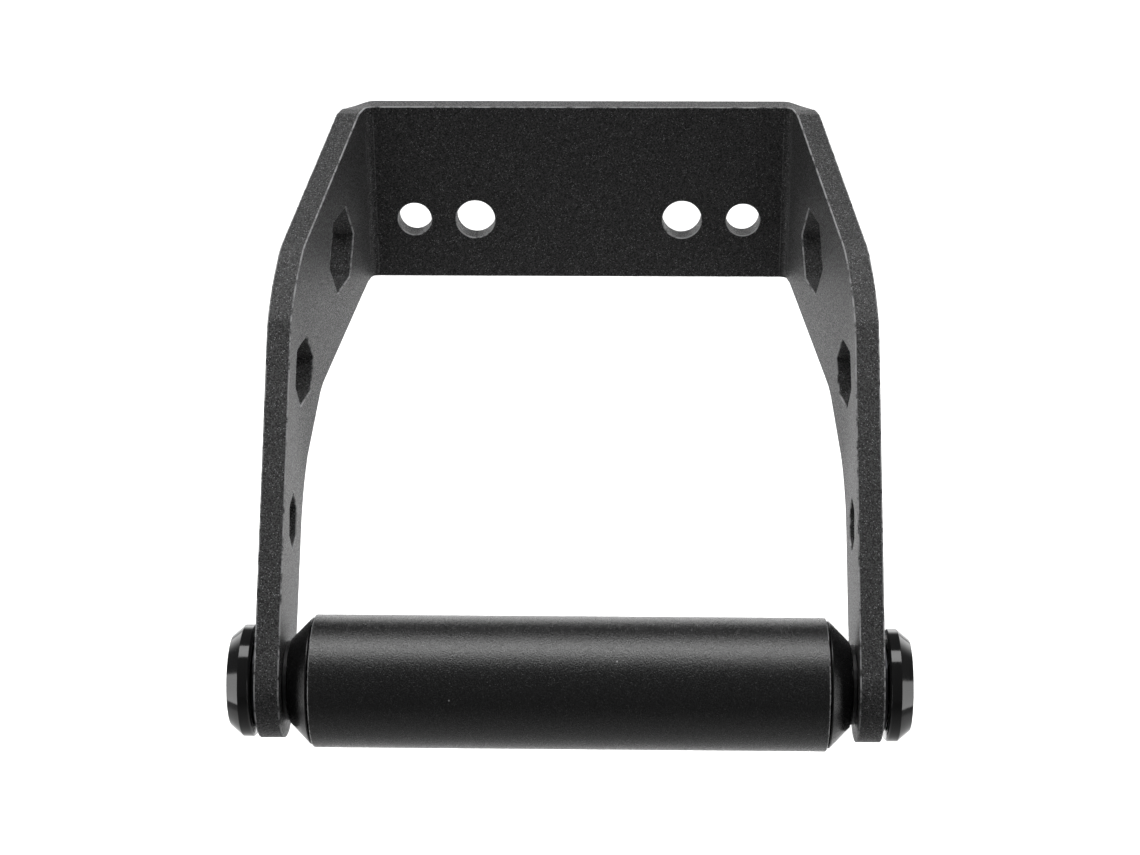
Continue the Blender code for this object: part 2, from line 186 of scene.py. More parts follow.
def makeGrainGroup():
    # pebbled skin of a coating: a height, the pebbles' own mask, bright flecks, and slow cloudy patches
    tree, given, result = newGroup(
        "coatingGrain",
        [("Vector", "NodeSocketVector", None), ("Grains per metre", "NodeSocketFloat", 2200.0),
         ("Fleck share", "NodeSocketFloat", 0.3)],
        [("Height", "NodeSocketFloat"), ("Pebbles", "NodeSocketFloat"), ("Flecks", "NodeSocketFloat"),
         ("Clouds", "NodeSocketFloat")])
    turned = addNode(tree, "ShaderNodeMapping", {
        "Vector": given["Vector"], "Rotation": grainLook["offAxis"]}).outputs["Vector"]
    pebbles = addNode(tree, "ShaderNodeTexNoise", {
        "Vector": turned, "Scale": given["Grains per metre"], "Detail": 3.0,
        "Roughness": grainLook["pebbleRoughness"]}).outputs["Fac"]
    cells = addNode(tree, "ShaderNodeTexVoronoi", {
        "Vector": turned, "Scale": given["Grains per metre"], "Randomness": 1.0})
    chosen = someCells(tree, cells, "Red", given["Fleck share"])
    fleck = product(tree, chosen, stepMask(tree, cells.outputs["Distance"], *grainLook["fleckReach"]))
    clouds = addNode(tree, "ShaderNodeTexNoise", {
        "Vector": given["Vector"], "Scale": grainLook["cloudsPerMetre"], "Detail": 3.0,
        "Roughness": grainLook["cloudRoughness"]}).outputs["Fac"]
    height = addNode(tree, "ShaderNodeMath", {0: fleck, 1: grainLook["fleckHeight"], 2: pebbles},
                     operation="MULTIPLY_ADD").outputs[0]
    tree.links.new(height, result["Height"])
    tree.links.new(stepMask(tree, pebbles, *grainLook["pebbleBand"]), result["Pebbles"])
    tree.links.new(fleck, result["Flecks"])
    tree.links.new(clouds, result["Clouds"])
    return tree


# noise that breaks up the painted edge highlight, and where the line starts and is full
edgeHighlightLook = {"roughness": 0.7, "breaks": (0.34, 0.58)}


def makeEdgeHighlightGroup():
    # painted highlight: a broken pale line along a rounded edge, standing for the light that its rounding catches
    tree, given, result = newGroup(
        "paintedEdgeHighlight",
        [("Vector", "NodeSocketVector", None), ("Edge", "NodeSocketFloat", 0.0),
         ("Breaks per metre", "NodeSocketFloat", 400.0)],
        [("Highlight", "NodeSocketFloat")])
    noise = addNode(tree, "ShaderNodeTexNoise", {
        "Vector": given["Vector"], "Scale": given["Breaks per metre"], "Detail": 4.0,
        "Roughness": edgeHighlightLook["roughness"]}).outputs["Fac"]
    tree.links.new(product(tree, stepMask(tree, noise, *edgeHighlightLook["breaks"]), given["Edge"]), result["Highlight"])
    return tree


dustLook = {"share": 0.12, "reach": (0.06, 0.02)}


def makeDustGroup():
    # a few tiny pale specks, far apart
    tree, given, result = newGroup(
        "dust",
        [("Vector", "NodeSocketVector", None), ("Specks per metre", "NodeSocketFloat", 260.0)],
        [("Specks", "NodeSocketFloat")])
    cells = addNode(tree, "ShaderNodeTexVoronoi", {
        "Vector": given["Vector"], "Scale": given["Specks per metre"], "Randomness": 1.0})
    chosen = someCells(tree, cells, "Green", dustLook["share"])
    near = stepMask(tree, cells.outputs["Distance"], *dustLook["reach"])
    tree.links.new(product(tree, chosen, near), result["Specks"])
    return tree


slowRingsPerMetre = 600.0


def makeTurningGroup():
    # faint rings left by a lathe tool: a height and a slower shade that change along the axle line only
    tree, given, result = newGroup(
        "turningMarks",
        [("Vector", "NodeSocketVector", None), ("Rings per metre", "NodeSocketFloat", 4000.0)],
        [("Height", "NodeSocketFloat"), ("Shade", "NodeSocketFloat")])
    split = addNode(tree, "ShaderNodeSeparateXYZ", {"Vector": given["Vector"]})
    along = addNode(tree, "ShaderNodeCombineXYZ", {"X": split.outputs["X"]}).outputs["Vector"]
    for scale, label in ((given["Rings per metre"], "Height"), (slowRingsPerMetre, "Shade")):
        rings = addNode(tree, "ShaderNodeTexNoise", {"Vector": along, "Scale": scale, "Detail": 2.0})
        tree.links.new(rings.outputs["Fac"], result[label])
    return tree


groups = {
    "grain": makeGrainGroup(), "edge": makeEdgeHighlightGroup(), "dust": makeDustGroup(), "turning": makeTurningGroup(),
}


def placeGroup(tree, group, **inputs):
    # the effect's inputs are given by name, with _ for a space
    node = tree.nodes.new("ShaderNodeGroup")
    node.node_tree = groups[group]
    for label, value in inputs.items():
        socket = node.inputs[label.replace("_", " ")]
        if isinstance(value, bpy.types.NodeSocket):
            tree.links.new(value, socket)
        else:
            socket.default_value = value
    return node.outputs


def mixColor(tree, share, first, second):
    node = addNode(tree, "ShaderNodeMix", data_type="RGBA")
    for socket, value in ((node.inputs[0], share), (node.inputs[6], first), (node.inputs[7], second)):
        if isinstance(value, bpy.types.NodeSocket):
            tree.links.new(value, socket)
        else:
            socket.default_value = (*value, 1.0)
    return node.outputs[2]


def mixValue(tree, share, first, second):
    # first where the share is 0, second where it is 1
    return addNode(tree, "ShaderNodeMapRange", {
        "Value": share, "To Min": first, "To Max": second}).outputs["Result"]


def newMaterial(name, shaderValues):
    material = bpy.data.materials.new(name)
    material.use_nodes = True
    tree = material.node_tree
    shader = tree.nodes["Principled BSDF"]
    for socket, value in shaderValues.items():
        shader.inputs[socket].default_value = value
    place = addNode(tree, "ShaderNodeTexCoord").outputs["Object"]
    return material, tree, shader, place


def setBump(tree, shader, height, depth):
    bump = addNode(tree, "ShaderNodeBump", {"Height": height, "Distance": depth})
    tree.links.new(bump.outputs["Normal"], shader.inputs["Normal"])


# painted highlight along the edges that the edge attribute marks
def edgeHighlightOf(tree, place):
    edge = addNode(tree, "ShaderNodeAttribute", attribute_name="edge").outputs["Fac"]
    return placeGroup(tree, "edge", Vector=place, Edge=edge)["Highlight"]


# in each finish, roughness and colours are given at the two ends of what varies over the surface
# an edge colour is the colour of the painted highlight along rounded edges
powder = {
    "dark": (0.0040, 0.0040, 0.0042), "light": (0.0780, 0.0780, 0.0790), "fleck": (0.34, 0.34, 0.345),
    "edge": (0.34, 0.34, 0.345), "dust": (0.3, 0.3, 0.3), "roughness": (0.60, 0.38), "fleckRoughness": 0.24,
    "specular": 0.38, "grains": 2600.0, "fleckShare": 0.20, "bump": 0.00016,
}


def makePowderCoat(name, finish):
    # matt black skin of pebbles that shade from dark to light, with bright flecks and a painted highlight along
    # the edges
    material, tree, shader, place = newMaterial(name, {"Specular IOR Level": finish["specular"]})
    grain = placeGroup(tree, "grain", Vector=place, Grains_per_metre=finish["grains"],
                       Fleck_share=finish["fleckShare"])
    color = mixColor(tree, grain["Pebbles"], finish["dark"], finish["light"])
    color = mixColor(tree, grain["Flecks"], color, finish["fleck"])
    # painted highlight along the rounded edges
    color = mixColor(tree, edgeHighlightOf(tree, place), color, finish["edge"])
    color = mixColor(tree, placeGroup(tree, "dust", Vector=place)["Specks"], color, finish["dust"])
    tree.links.new(color, shader.inputs["Base Color"])
    gloss = mixValue(tree, grain["Pebbles"], *finish["roughness"])
    gloss = addNode(tree, "ShaderNodeMix", {0: grain["Flecks"], 2: gloss, 3: finish["fleckRoughness"]})
    tree.links.new(gloss.outputs[0], shader.inputs["Roughness"])
    setBump(tree, shader, grain["Height"], finish["bump"])
    return material


# the edge colour here is a painted highlight on rounded corners
anodised = {
    "dark": (0.002, 0.002, 0.0021), "light": (0.016, 0.016, 0.0165), "fleck": (0.06, 0.06, 0.061),
    "edge": (0.22, 0.22, 0.223), "dust": (0.35, 0.35, 0.35), "shade": 1.0, "roughness": (0.36, 0.22),
    "turnedShare": 0.35, "specular": 0.6, "grains": 2800.0, "fleckShare": 0.2, "specks": 200.0,
    "bump": 0.00009,
}
anodisedDull = anodised | {
    "shade": 0.6, "roughness": (0.32, 0.24), "specular": 0.28, "grains": 4200.0, "specks": 300.0,
    "bump": 0.00002,
}


def makeAnodised(name, finish):
    # smooth black of fine grains, whose gloss follows the grains and, by turnedShare, the lathe's rings
    material, tree, shader, place = newMaterial(name, {"Specular IOR Level": finish["specular"]})
    grain = placeGroup(tree, "grain", Vector=place, Grains_per_metre=finish["grains"],
                       Fleck_share=finish["fleckShare"])
    dark, light, fleck = (tuple(finish["shade"] * c for c in finish[tone])
                          for tone in ("dark", "light", "fleck"))
    color = mixColor(tree, grain["Pebbles"], dark, light)
    color = mixColor(tree, grain["Flecks"], color, fleck)
    # painted highlight on the marked corners
    color = mixColor(tree, edgeHighlightOf(tree, place), color, finish["edge"])
    specks = placeGroup(tree, "dust", Vector=place, Specks_per_metre=finish["specks"])["Specks"]
    tree.links.new(mixColor(tree, specks, color, finish["dust"]), shader.inputs["Base Color"])
    rings = placeGroup(tree, "turning", Vector=place)["Shade"]
    gloss = addNode(tree, "ShaderNodeMix", {0: finish["turnedShare"], 2: grain["Pebbles"], 3: rings})
    tree.links.new(mixValue(tree, gloss.outputs[0], *finish["roughness"]), shader.inputs["Roughness"])
    setBump(tree, shader, grain["Height"], finish["bump"])
    return material


polished = {
    "dark": (0.004, 0.004, 0.0042), "light": (0.009, 0.009, 0.0094), "dust": (0.3, 0.3, 0.3),
    "roughness": (0.08, 0.13), "specular": 0.42, "rings": 2500.0, "grains": 900.0, "fleckShare": 0.05,
    "specks": 420.0, "bump": 0.000004,
}


def makeGlossBlack(name, finish):
    # near-mirror black, in faint rings, with a very shallow orange peel
    material, tree, shader, place = newMaterial(name, {"Specular IOR Level": finish["specular"]})
    rings = placeGroup(tree, "turning", Vector=place, Rings_per_metre=finish["rings"])["Shade"]
    grain = placeGroup(tree, "grain", Vector=place, Grains_per_metre=finish["grains"],
                       Fleck_share=finish["fleckShare"])
    color = mixColor(tree, rings, finish["dark"], finish["light"])
    specks = placeGroup(tree, "dust", Vector=place, Specks_per_metre=finish["specks"])["Specks"]
    tree.links.new(mixColor(tree, specks, color, finish["dust"]), shader.inputs["Base Color"])
    tree.links.new(mixValue(tree, rings, *finish["roughness"]), shader.inputs["Roughness"])
    setBump(tree, shader, grain["Height"], finish["bump"])
    return material


bareSteel = {"grains": 1500.0, "fleckShare": 0.1, "bump": 0.000008}
brightSteel = bareSteel | {
    "dark": (0.50, 0.51, 0.53), "light": (0.66, 0.67, 0.69), "roughness": (0.14, 0.24), "rings": 5000.0}
zincSteel = bareSteel | {
    "dark": (0.36, 0.37, 0.39), "light": (0.52, 0.53, 0.55), "roughness": (0.32, 0.46), "rings": 3000.0}
blackSteel = bareSteel | {
    "dark": (0.030, 0.030, 0.032), "light": (0.055, 0.055, 0.06), "roughness": (0.35, 0.5), "rings": 3000.0}


def makeMetal(name, finish):
    # turned metal: rings round the axle, with a shade and a gloss that wander between two values
    material, tree, shader, place = newMaterial(name, {"Metallic": 1.0})
    marks = placeGroup(tree, "turning", Vector=place, Rings_per_metre=finish["rings"])
    grain = placeGroup(tree, "grain", Vector=place, Grains_per_metre=finish["grains"],
                       Fleck_share=finish["fleckShare"])
    color = mixColor(tree, marks["Shade"], finish["dark"], finish["light"])
    tree.links.new(mixColor(tree, grain["Flecks"], color, finish["dark"]), shader.inputs["Base Color"])
    tree.links.new(mixValue(tree, grain["Clouds"], *finish["roughness"]), shader.inputs["Roughness"])
    setBump(tree, shader, marks["Height"], finish["bump"])
    return material


polymer = {"dark": (0.009, 0.009, 0.0095), "light": (0.014, 0.014, 0.0145), "roughness": (0.42, 0.55),
           "specular": 0.3, "grains": 2600.0, "bump": 0.00001}
wool = {"dark": (0.05, 0.05, 0.05), "light": (0.11, 0.11, 0.11), "roughness": (0.90, 0.98),
        "specular": 0.3, "grains": 3000.0, "bump": 0.00012}


def makeSoft(name, finish):
    # felt or plain plastic: mottled colour on a fine uneven skin
    material, tree, shader, place = newMaterial(name, {"Specular IOR Level": finish["specular"]})
    grain = placeGroup(tree, "grain", Vector=place, Grains_per_metre=finish["grains"])
    color = mixColor(tree, grain["Clouds"], finish["dark"], finish["light"])
    tree.links.new(color, shader.inputs["Base Color"])
    tree.links.new(mixValue(tree, grain["Clouds"], *finish["roughness"]), shader.inputs["Roughness"])
    setBump(tree, shader, grain["Height"], finish["bump"])
    return material


coneFinish = makeAnodised("anodisedCone", anodisedDull)
finishes = {  # by the record's material slots
    "powder_coat": makePowderCoat("powderCoat", powder),
    "anodised_grip": makeAnodised("anodisedGrip", anodised),
    "gloss_head": makeGlossBlack("glossBlack", polished),
    "bearing_steel": makeMetal("bearingSteel", brightSteel),
    "zinc_steel": makeMetal("zincSteel", zincSteel),
    "black_steel": makeMetal("blackSteel", blackSteel),
    "black_polymer": makeSoft("blackPolymer", polymer),
    "felt": makeSoft("felt", wool),
}
slotOf = {part["node"]: part["material_slot"] for part in frame["record"]["subparts"]}
for nodeName, node in frame["nodes"].items():
    node.data.materials.clear()
    node.data.materials.append(finishes[slotOf[nodeName]])
print("finishes made")


bracket = {
    # plate and web; each round hole has its distance in from the arm's inner face and its diameter
    "plate": 0.006, "webHeight": 0.048, "webHalf": 0.0565, "bendRadius": 0.002,
    "webHoles": ((0.0285, 0.0105), (0.012, 0.009)), "holeDrop": 0.0075,
    # arm from the side: elbow points are middles of its width, as (y, z)
    "topLevel": 0.0065, "bottomLevel": 0.005,
    "elbowUpper": (-0.0604, -0.0153), "elbowLower": (-0.0747, -0.0285),
    "elbowWidth": 0.0416, "elbowLean": radians(11.5), "elbowRound": 0.012, "cornerRound": 0.003,
    "endRadius": 0.0137, "axleBore": 0.0080,
    # arm from above: it opens outward as far as the fold
    "span": 0.137, "foldY": -0.0755, "foldRadius": 0.075,
    # hexagonal holes: y, z and width across the corners
    "hexHoles": ((-0.0334, -0.0066, 0.0228), (-0.0700, -0.0255, 0.0176), (-0.0948, -0.0551, 0.0140)),
    "hexTurn": radians(62.5), "hexCorner": 0.0003,
    # rounded edges, and the pull of the tight bend on the plate's two edges
    "edgeRound": 0.00030, "edgeSteps": 5, "support": 0.00012,
    "drawIn": 0.0009, "drawReach": 0.0015, "drawPeak": 0.55,
    # painted highlight lines along the start and the end of the bend, and the width that they fade over
    "bendHighlights": (0.35, 0.8), "creaseWidth": 0.00022,
}
# how finely the plate is cut: along the strip's own length, along its edges, and over its faces
plateMesh = {
    "bendSteps": 25, "armGap": 0.004, "armTop": -0.0098, "armStep": 0.0004, "armPast": 1.2,
    "bendEdge": 0.00016, "plainEdge": 0.0014, "bendMargin": 0.0004, "cornerSteps": 10, "endSteps": 49,
    "holeSteps": 72, "hexCornerSteps": 4, "middle": 0.0015, "webStep": 0.003, "bendColumns": 17,
    "bendClear": 0.001, "armCell": 0.0026, "rimStep": 0.0004, "rimClear": 0.0008,
}


def plateMap():
    # The plate is a strip bent to a U. Its own coordinates are u, along the strip from the middle of the
    # web, and z. Each u gives a point on the inner face and one on the outer face, kept here as knots:
    # straight along the web, round the tight bend, then down the arm, where u grows as -y does.
    b, m = bracket, plateMesh
    flare = atan2(b["span"] / 2 - b["webHalf"], -b["plate"] - b["foldY"])
    turn = pi / 2 - flare
    bendX = b["webHalf"] - b["bendRadius"] * tan(turn / 2)
    bendY = -b["plate"] - b["bendRadius"]
    along = np.linspace(0, 1, m["bendSteps"])
    angle = pi / 2 - turn * along
    arc = np.stack([np.cos(angle), np.sin(angle)], -1)
    bendEnd = bendX + b["bendRadius"] * turn
    armStart = bendEnd + m["armGap"]
    armY = np.arange(m["armTop"], axleY - m["armPast"] * b["endRadius"], -m["armStep"])
    foldX, foldY = b["span"] / 2 - b["foldRadius"], b["foldY"] - b["foldRadius"] * tan(flare / 2)

    def faceX(offset):
        # flared plane above the fold, an arc through it, parallel plane below
        radius = b["foldRadius"] + offset
        flared = b["webHalf"] + (-b["plate"] - armY) * tan(flare) + offset / cos(flare)
        curved = foldX + np.sqrt(np.maximum(radius**2 - (armY - foldY) ** 2, 0))
        straight = np.full_like(armY, b["span"] / 2 + offset)
        return np.where(armY > foldY + radius * sin(flare), flared, np.where(armY > foldY, curved, straight))

    knots = np.concatenate([[0], bendX + b["bendRadius"] * turn * along, armStart + armY[0] - armY])
    sides = []
    for offset in (0, b["plate"]):
        bend = np.array([bendX, bendY]) + arc * (b["bendRadius"] + offset)
        arm = np.stack([faceX(offset), armY], -1)
        sides.append(np.concatenate([[[0, -b["plate"] + offset]], bend, arm]))
    return {"knots": knots, "inner": sides[0], "outer": sides[1], "bend": (bendX, bendEnd),
            "armStart": armStart}


plate = plateMap()


def platePoints(strip, depth):
    # a point at (u, z) and a depth under the inner face lies on the line between the two faces' points for u
    u, share = np.abs(strip[..., 0]), depth / bracket["plate"]
    across = [np.interp(u, plate["knots"], plate["inner"][:, axis]) * (1 - share)
              + np.interp(u, plate["knots"], plate["outer"][:, axis]) * share for axis in (0, 1)]
    # the stretched outside of each tight bend draws its two edges in towards the middle of the plate, by
    # an amount that grows with the depth and the square of the height and is smooth along the bend
    z = strip[..., 1] + 0 * share
    low, high = plate["bend"]
    peak = low + (high - low) * bracket["drawPeak"]
    nearBend = np.interp(u, [low, peak, high + bracket["drawReach"]], [0, 1, 0])
    nearEdge = np.clip(np.abs(z) / (bracket["webHeight"] / 2) * 2 - 1, 0, 1) ** 2
    z = z - np.sign(z) * bracket["drawIn"] * share * nearEdge * nearBend**2 * (3 - 2 * nearBend)
    side = np.where(strip[..., 0] < 0, -1, 1)
    return np.stack([across[0] * side, across[1], z], -1)


def armU(y):
    return plate["armStart"] + plateMesh["armTop"] - np.asarray(y)


def tangentAngle(outside, side):
    # direction, seen from the axle, of the point where a line from outside touches the arm's round end
    dy, dz = outside[0] - axleY, outside[1] - axleZ
    return atan2(dz, dy) + side * np.arccos(bracket["endRadius"] / np.hypot(dy, dz))


def armLoop():
    # side view of one arm: level edges past the bend, slopes to the elbow, straight to a round end
    b, half = bracket, bracket["webHeight"] / 2
    lean = np.array([-sin(b["elbowLean"]), cos(b["elbowLean"])]) * b["elbowWidth"] / 2
    upper, lower = np.array(b["elbowUpper"]), np.array(b["elbowLower"])
    frontTouch, backTouch = tangentAngle(lower + lean, 1), tangentAngle(lower - lean, -1)
    touches = [(axleY + b["endRadius"] * cos(a), axleZ + b["endRadius"] * sin(a))
               for a in (frontTouch, backTouch)]
    corners = [(b["plate"], half), (-b["plate"] - b["topLevel"], half), upper + lean, lower + lean, *touches,
               lower - lean, upper - lean, (-b["plate"] - b["bottomLevel"], -half), (b["plate"], -half)]
    soft, corner = b["elbowRound"], b["cornerRound"]
    radii = [0, corner, soft, soft, 0, 0, soft, soft, corner, 0]
    loop = roundedLoop(corners, radii, plateMesh["cornerSteps"])
    sweep = (backTouch - frontTouch) % (2 * pi)
    angle = frontTouch + sweep * np.linspace(0, 1, plateMesh["endSteps"])[1:-1]
    end = np.stack([axleY + b["endRadius"] * np.cos(angle), axleZ + b["endRadius"] * np.sin(angle)], -1)
    touch = np.argmin(np.linalg.norm(loop - touches[0], axis=1))
    loop = np.concatenate([loop[1:touch + 1], end, loop[touch + 1:-1]])
    return np.stack([armU(loop[:, 0]), loop[:, 1]], -1)


def stripStep(middle):
    # how far apart points lie along an edge: close in the tight bends, wider elsewhere
    u, m = np.abs(middle[:, 0]), plateMesh
    inBend = (u > plate["bend"][0] - m["bendMargin"]) & (u < plate["bend"][1] + m["bendMargin"])
    return np.where(inBend, m["bendEdge"], m["plainEdge"])


def ring(centre, radius, count, turn=0.0):
    angle = turn - 2 * pi * np.arange(count) / count
    return np.stack([centre[0] + radius * np.cos(angle), centre[1] + radius * np.sin(angle)], -1)


def stripLoops():
    # outline of the whole strip, then its holes; all have the metal on their left
    arm = armLoop()[::-1]
    top = np.array([[u, bracket["webHeight"] / 2] for u in plate["bend"]])[::-1]
    bottom = top[::-1] * [1, -1]
    mirrored = [side[::-1] * [-1, 1] for side in (top, arm, bottom)]
    outline = np.concatenate([arm, top, *mirrored, bottom])
    loops = [subdivided(outline, stripStep)]
    for sign in (-1, 1):
        for margin, diameter in bracket["webHoles"]:
            place = (sign * (bracket["webHalf"] - margin), -bracket["holeDrop"])
            loops.append(ring(place, diameter / 2, plateMesh["holeSteps"]))
        for y, z, width in bracket["hexHoles"]:
            hexagon = ring((armU(y), z), width / 2, 6, -bracket["hexTurn"])
            hexagon = roundedLoop(hexagon, [bracket["hexCorner"]] * 6, plateMesh["hexCornerSteps"])
            hexagon = hexagon if sign > 0 else hexagon[::-1] * [-1, 1]
            loops.append(subdivided(hexagon, stripStep))
        loops.append(ring((sign * armU(axleY), axleZ), bracket["axleBore"], plateMesh["holeSteps"]))
    return loops


def insideLoops(points, loops):
    # a point is on metal where a ray to the right crosses the outlines an odd number of times
    starts = np.concatenate(loops)
    ends = np.concatenate([np.roll(loop, -1, 0) for loop in loops])
    u, z = points[:, :1], points[:, 1:]
    spans = (starts[:, 1] > z) != (ends[:, 1] > z)
    rise = np.where(ends[:, 1] == starts[:, 1], 1, ends[:, 1] - starts[:, 1])
    meets = starts[:, 0] + (z - starts[:, 1]) * (ends[:, 0] - starts[:, 0]) / rise
    return (spans & (meets > u)).sum(1) % 2 == 1


def clearOfLoops(points, loops, distance):
    edge = np.concatenate(loops)
    return np.hypot(points[:, :1] - edge[:, 0], points[:, 1:] - edge[:, 1]).min(1) > distance


def leftNormals(loop):
    # square to the mean direction of the two sides that meet at each point
    ahead, back = np.roll(loop, -1, 0) - loop, loop - np.roll(loop, 1, 0)
    along = ahead / np.linalg.norm(ahead, axis=1)[:, None] + back / np.linalg.norm(back, axis=1)[:, None]
    along /= np.linalg.norm(along, axis=1)[:, None]
    return np.stack([-along[:, 1], along[:, 0]], -1)


def edgeProfile():
    # section of an edge from the inner face to the outer one, as (inset from the outline, depth, share of painted
    # highlight):
    # a quarter circle, the straight wall and a quarter circle, with a point just outside each arc
    # that keeps the flat beside it flat
    r, thick, support = bracket["edgeRound"], bracket["plate"], bracket["support"]
    quarter = np.linspace(0, pi / 2, bracket["edgeSteps"] + 1)
    inset, depth = r * (1 - np.sin(quarter)), r * (1 - np.cos(quarter))
    # painted highlight over the two rounded arcs, none on the faces or the straight wall
    edgeLit = np.concatenate([[0], np.ones(bracket["edgeSteps"])])
    inset = np.concatenate([[r + support], inset, [0, 0], inset[::-1], [r + support]])
    depth = np.concatenate([[0], depth, [r + support, thick - r - support], thick - depth[::-1], [thick]])
    return inset, depth, np.concatenate([[0], edgeLit, [0, 0], edgeLit[::-1], [0]])


def plateLattice(rims):
    # points over the faces, in columns along u and rows up z: columns are close together in the tight
    # bends, with one just outside each, and none of the points is near a rim
    m, (bendLow, bendHigh) = plateMesh, plate["bend"]
    armEnd = armU(axleY - bracket["endRadius"])
    right = np.concatenate([
        np.arange(m["middle"], bendLow - m["bendClear"], m["webStep"]), [bendLow - bracket["creaseWidth"]],
        np.linspace(bendLow, bendHigh, m["bendColumns"]), [bendHigh + bracket["creaseWidth"]],
        np.arange(bendHigh + m["bendClear"], armEnd, m["armCell"])])
    up = np.arange(axleZ - bracket["endRadius"], bracket["webHeight"] / 2, m["armCell"])
    across = np.concatenate([-right[::-1], right])
    lattice = np.stack(np.meshgrid(across, up, indexing="ij"), -1).reshape(-1, 2)
    lattice = lattice[insideLoops(lattice, rims)]
    fineRims = [subdivided(rim, lambda middle: np.full(len(middle), m["rimStep"])) for rim in rims]
    return lattice[clearOfLoops(lattice, fineRims, m["rimClear"])]


def filledFace(rims, lattice):
    # points and triangles of the area between the outer rim and the holes' rims
    flat = np.concatenate(rims + [lattice])
    owner = np.repeat(np.arange(len(rims) + 1), [len(rim) for rim in rims] + [len(lattice)])
    index = np.arange(len(flat))
    borders = [np.stack([index[owner == k], np.roll(index[owner == k], -1)], -1) for k in range(len(rims))]
    # in millimetres; the triangulation rounds coordinates, so the points stay as they were given
    _, _, triangles, sources, _, _ = delaunay_2d_cdt(
        (flat * 1000).tolist(), np.concatenate(borders).tolist(), [], 1, 1e-6)
    kept = [source[0] for source in sources]
    # the holes are convex, so a triangle with all its corners on one hole's rim lies in the hole
    corner = owner[kept][np.array(triangles)]
    inHole = (np.ptp(corner, axis=1) == 0) & (corner[:, 0] > 0) & (corner[:, 0] < len(rims))
    return flat[kept], np.array(triangles)[~inHole]


def makeBracket():
    # each outline carries the edge profile round as a band, and triangles fill the two faces between bands
    inset, depth, edgeLit = edgeProfile()
    points, edges, faceSets, rims, count = [], [], [], [], 0
    for loop in stripLoops():
        normal = leftNormals(loop)
        band = loop[:, None] + normal[:, None] * inset[None, :, None]
        points.append(platePoints(band, depth[None, :]).reshape(-1, 3))
        edges.append(np.broadcast_to(edgeLit, band.shape[:2]).reshape(-1))
        faceSets.append(gridFaces(len(loop), len(inset), rowsClosed=True) + count)
        count += band.shape[0] * band.shape[1]
        rims.append(loop + normal * inset[0])
    flat, triangles = filledFace(rims, plateLattice(rims))
    # painted highlight lines on the inner face where the tight bend starts and ends, none on the outer face
    bendHighlights = sum(line * (np.abs(np.abs(flat[:, 0]) - u) < 1e-6)
                    for line, u in zip(bracket["bendHighlights"], plate["bend"]))
    for level, order, lines in ((0.0, 1, bendHighlights), (bracket["plate"], -1, 0 * bendHighlights)):
        points.append(platePoints(flat, level))
        edges.append(lines)
        faceSets.append(triangles[:, ::order] + count)
        count += len(flat)
    meshPiece("bracketPlate", np.concatenate(points), faceSets, "bracket", "bracket",
              finishes["powder_coat"], 50, np.concatenate(edges))


makeBracket()
print("bracket made")


def supported(loop, margin=0.00006):
    # a point just inside each end of every long straight side keeps its shading flat
    ahead = np.roll(loop, -1, 0)
    length = np.linalg.norm(ahead - loop, axis=1)
    share = np.where(length > 4 * margin, margin / np.maximum(length, 1e-9), 0)[:, None]
    return np.stack([loop, loop + (ahead - loop) * share, ahead - (ahead - loop) * share], 1).reshape(-1, 2)


# how far round a listed corner the painted highlight reaches
highlightReach = 0.0003


def turnedPiece(name, corners, radii, replaced, finish, steps=160, highlitCorners=()):
    # a closed outline of (distance along the axle, radius) carried once round the axle line;
    # the last argument holds (distance, radius) of the corners that get a painted highlight
    outline = supported(roundedLoop(corners, radii))
    angle = 2 * pi * np.arange(steps) / steps
    along, radius = outline[:, :1], outline[:, 1:]
    points = np.stack([along + 0 * angle, axleY + radius * np.cos(angle), axleZ + radius * np.sin(angle)], -1)
    cornerLit = np.zeros(len(outline))
    # painted highlight near each listed corner
    for corner in highlitCorners:
        cornerLit = np.maximum(cornerLit, np.hypot(*(outline - corner).T) < highlightReach)
    faces = gridFaces(len(outline), steps, rowsClosed=True, columnsClosed=True)
    meshPiece(name, points.reshape(-1, 3), [faces], "grip", replaced, finish,
              edges=np.repeat(cornerLit, steps))


def outerRadius(node):
    low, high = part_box(node)
    return (high.z - low.z) / 2


tube = {"edge": 0.00035, "seatEdge": 0.0001, "seatRadius": 0.0123, "boreRadius": 0.011, "steps": 256}


def makeTube():
    # plain outside; inside, a bearing seat at each end of a narrower bore
    end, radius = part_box("roller_tube")[1].x, outerRadius("roller_tube")
    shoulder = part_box("bearing_outer_ring_right")[0].x - gap
    bore, seat = tube["boreRadius"], tube["seatRadius"]
    half = [(shoulder, bore), (shoulder, seat), (end, seat), (end, radius)]
    corners = half + [(-along, radius) for along, radius in half[::-1]]
    radii = [0, 0, tube["seatEdge"], tube["edge"]]
    # painted highlight on the tube's two outer end corners
    turnedPiece("gripTube", corners, radii + radii[::-1], "roller_tube", finishes["anodised_grip"],
                tube["steps"], [(end, radius), (-end, radius)])


cone = {"rim": 0.0026, "edge": 0.0003, "innerEdge": 0.0002, "spigot": 0.012, "endWall": 0.0038,
        "running": 0.0004}


def makeCone(name, sign):
    # a spigot inside the tube, a flat against its end, the taper, and a bore with a pocket for the seal
    low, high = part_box("end_cone_right")
    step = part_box("roller_tube")[1].x + gap
    sealPocket = outerRadius("felt_seal_right") + gap
    bore = outerRadius("distance_sleeve_right") + cone["running"]
    wall = high.x - cone["endWall"]
    corners = [(low.x, cone["spigot"]), (step, cone["spigot"]), (step, outerRadius("end_cone_right")),
               (high.x, bore + cone["rim"]), (high.x, bore), (wall, bore), (wall, sealPocket),
               (low.x, sealPocket)]
    radii = [cone["innerEdge"], 0, cone["edge"], cone["edge"], cone["innerEdge"], 0, 0, cone["innerEdge"]]
    corners = [(sign * along, radius) for along, radius in corners]
    turnedPiece(f"gripCone_{name}", corners, radii, f"end_cone_{name}", coneFinish)


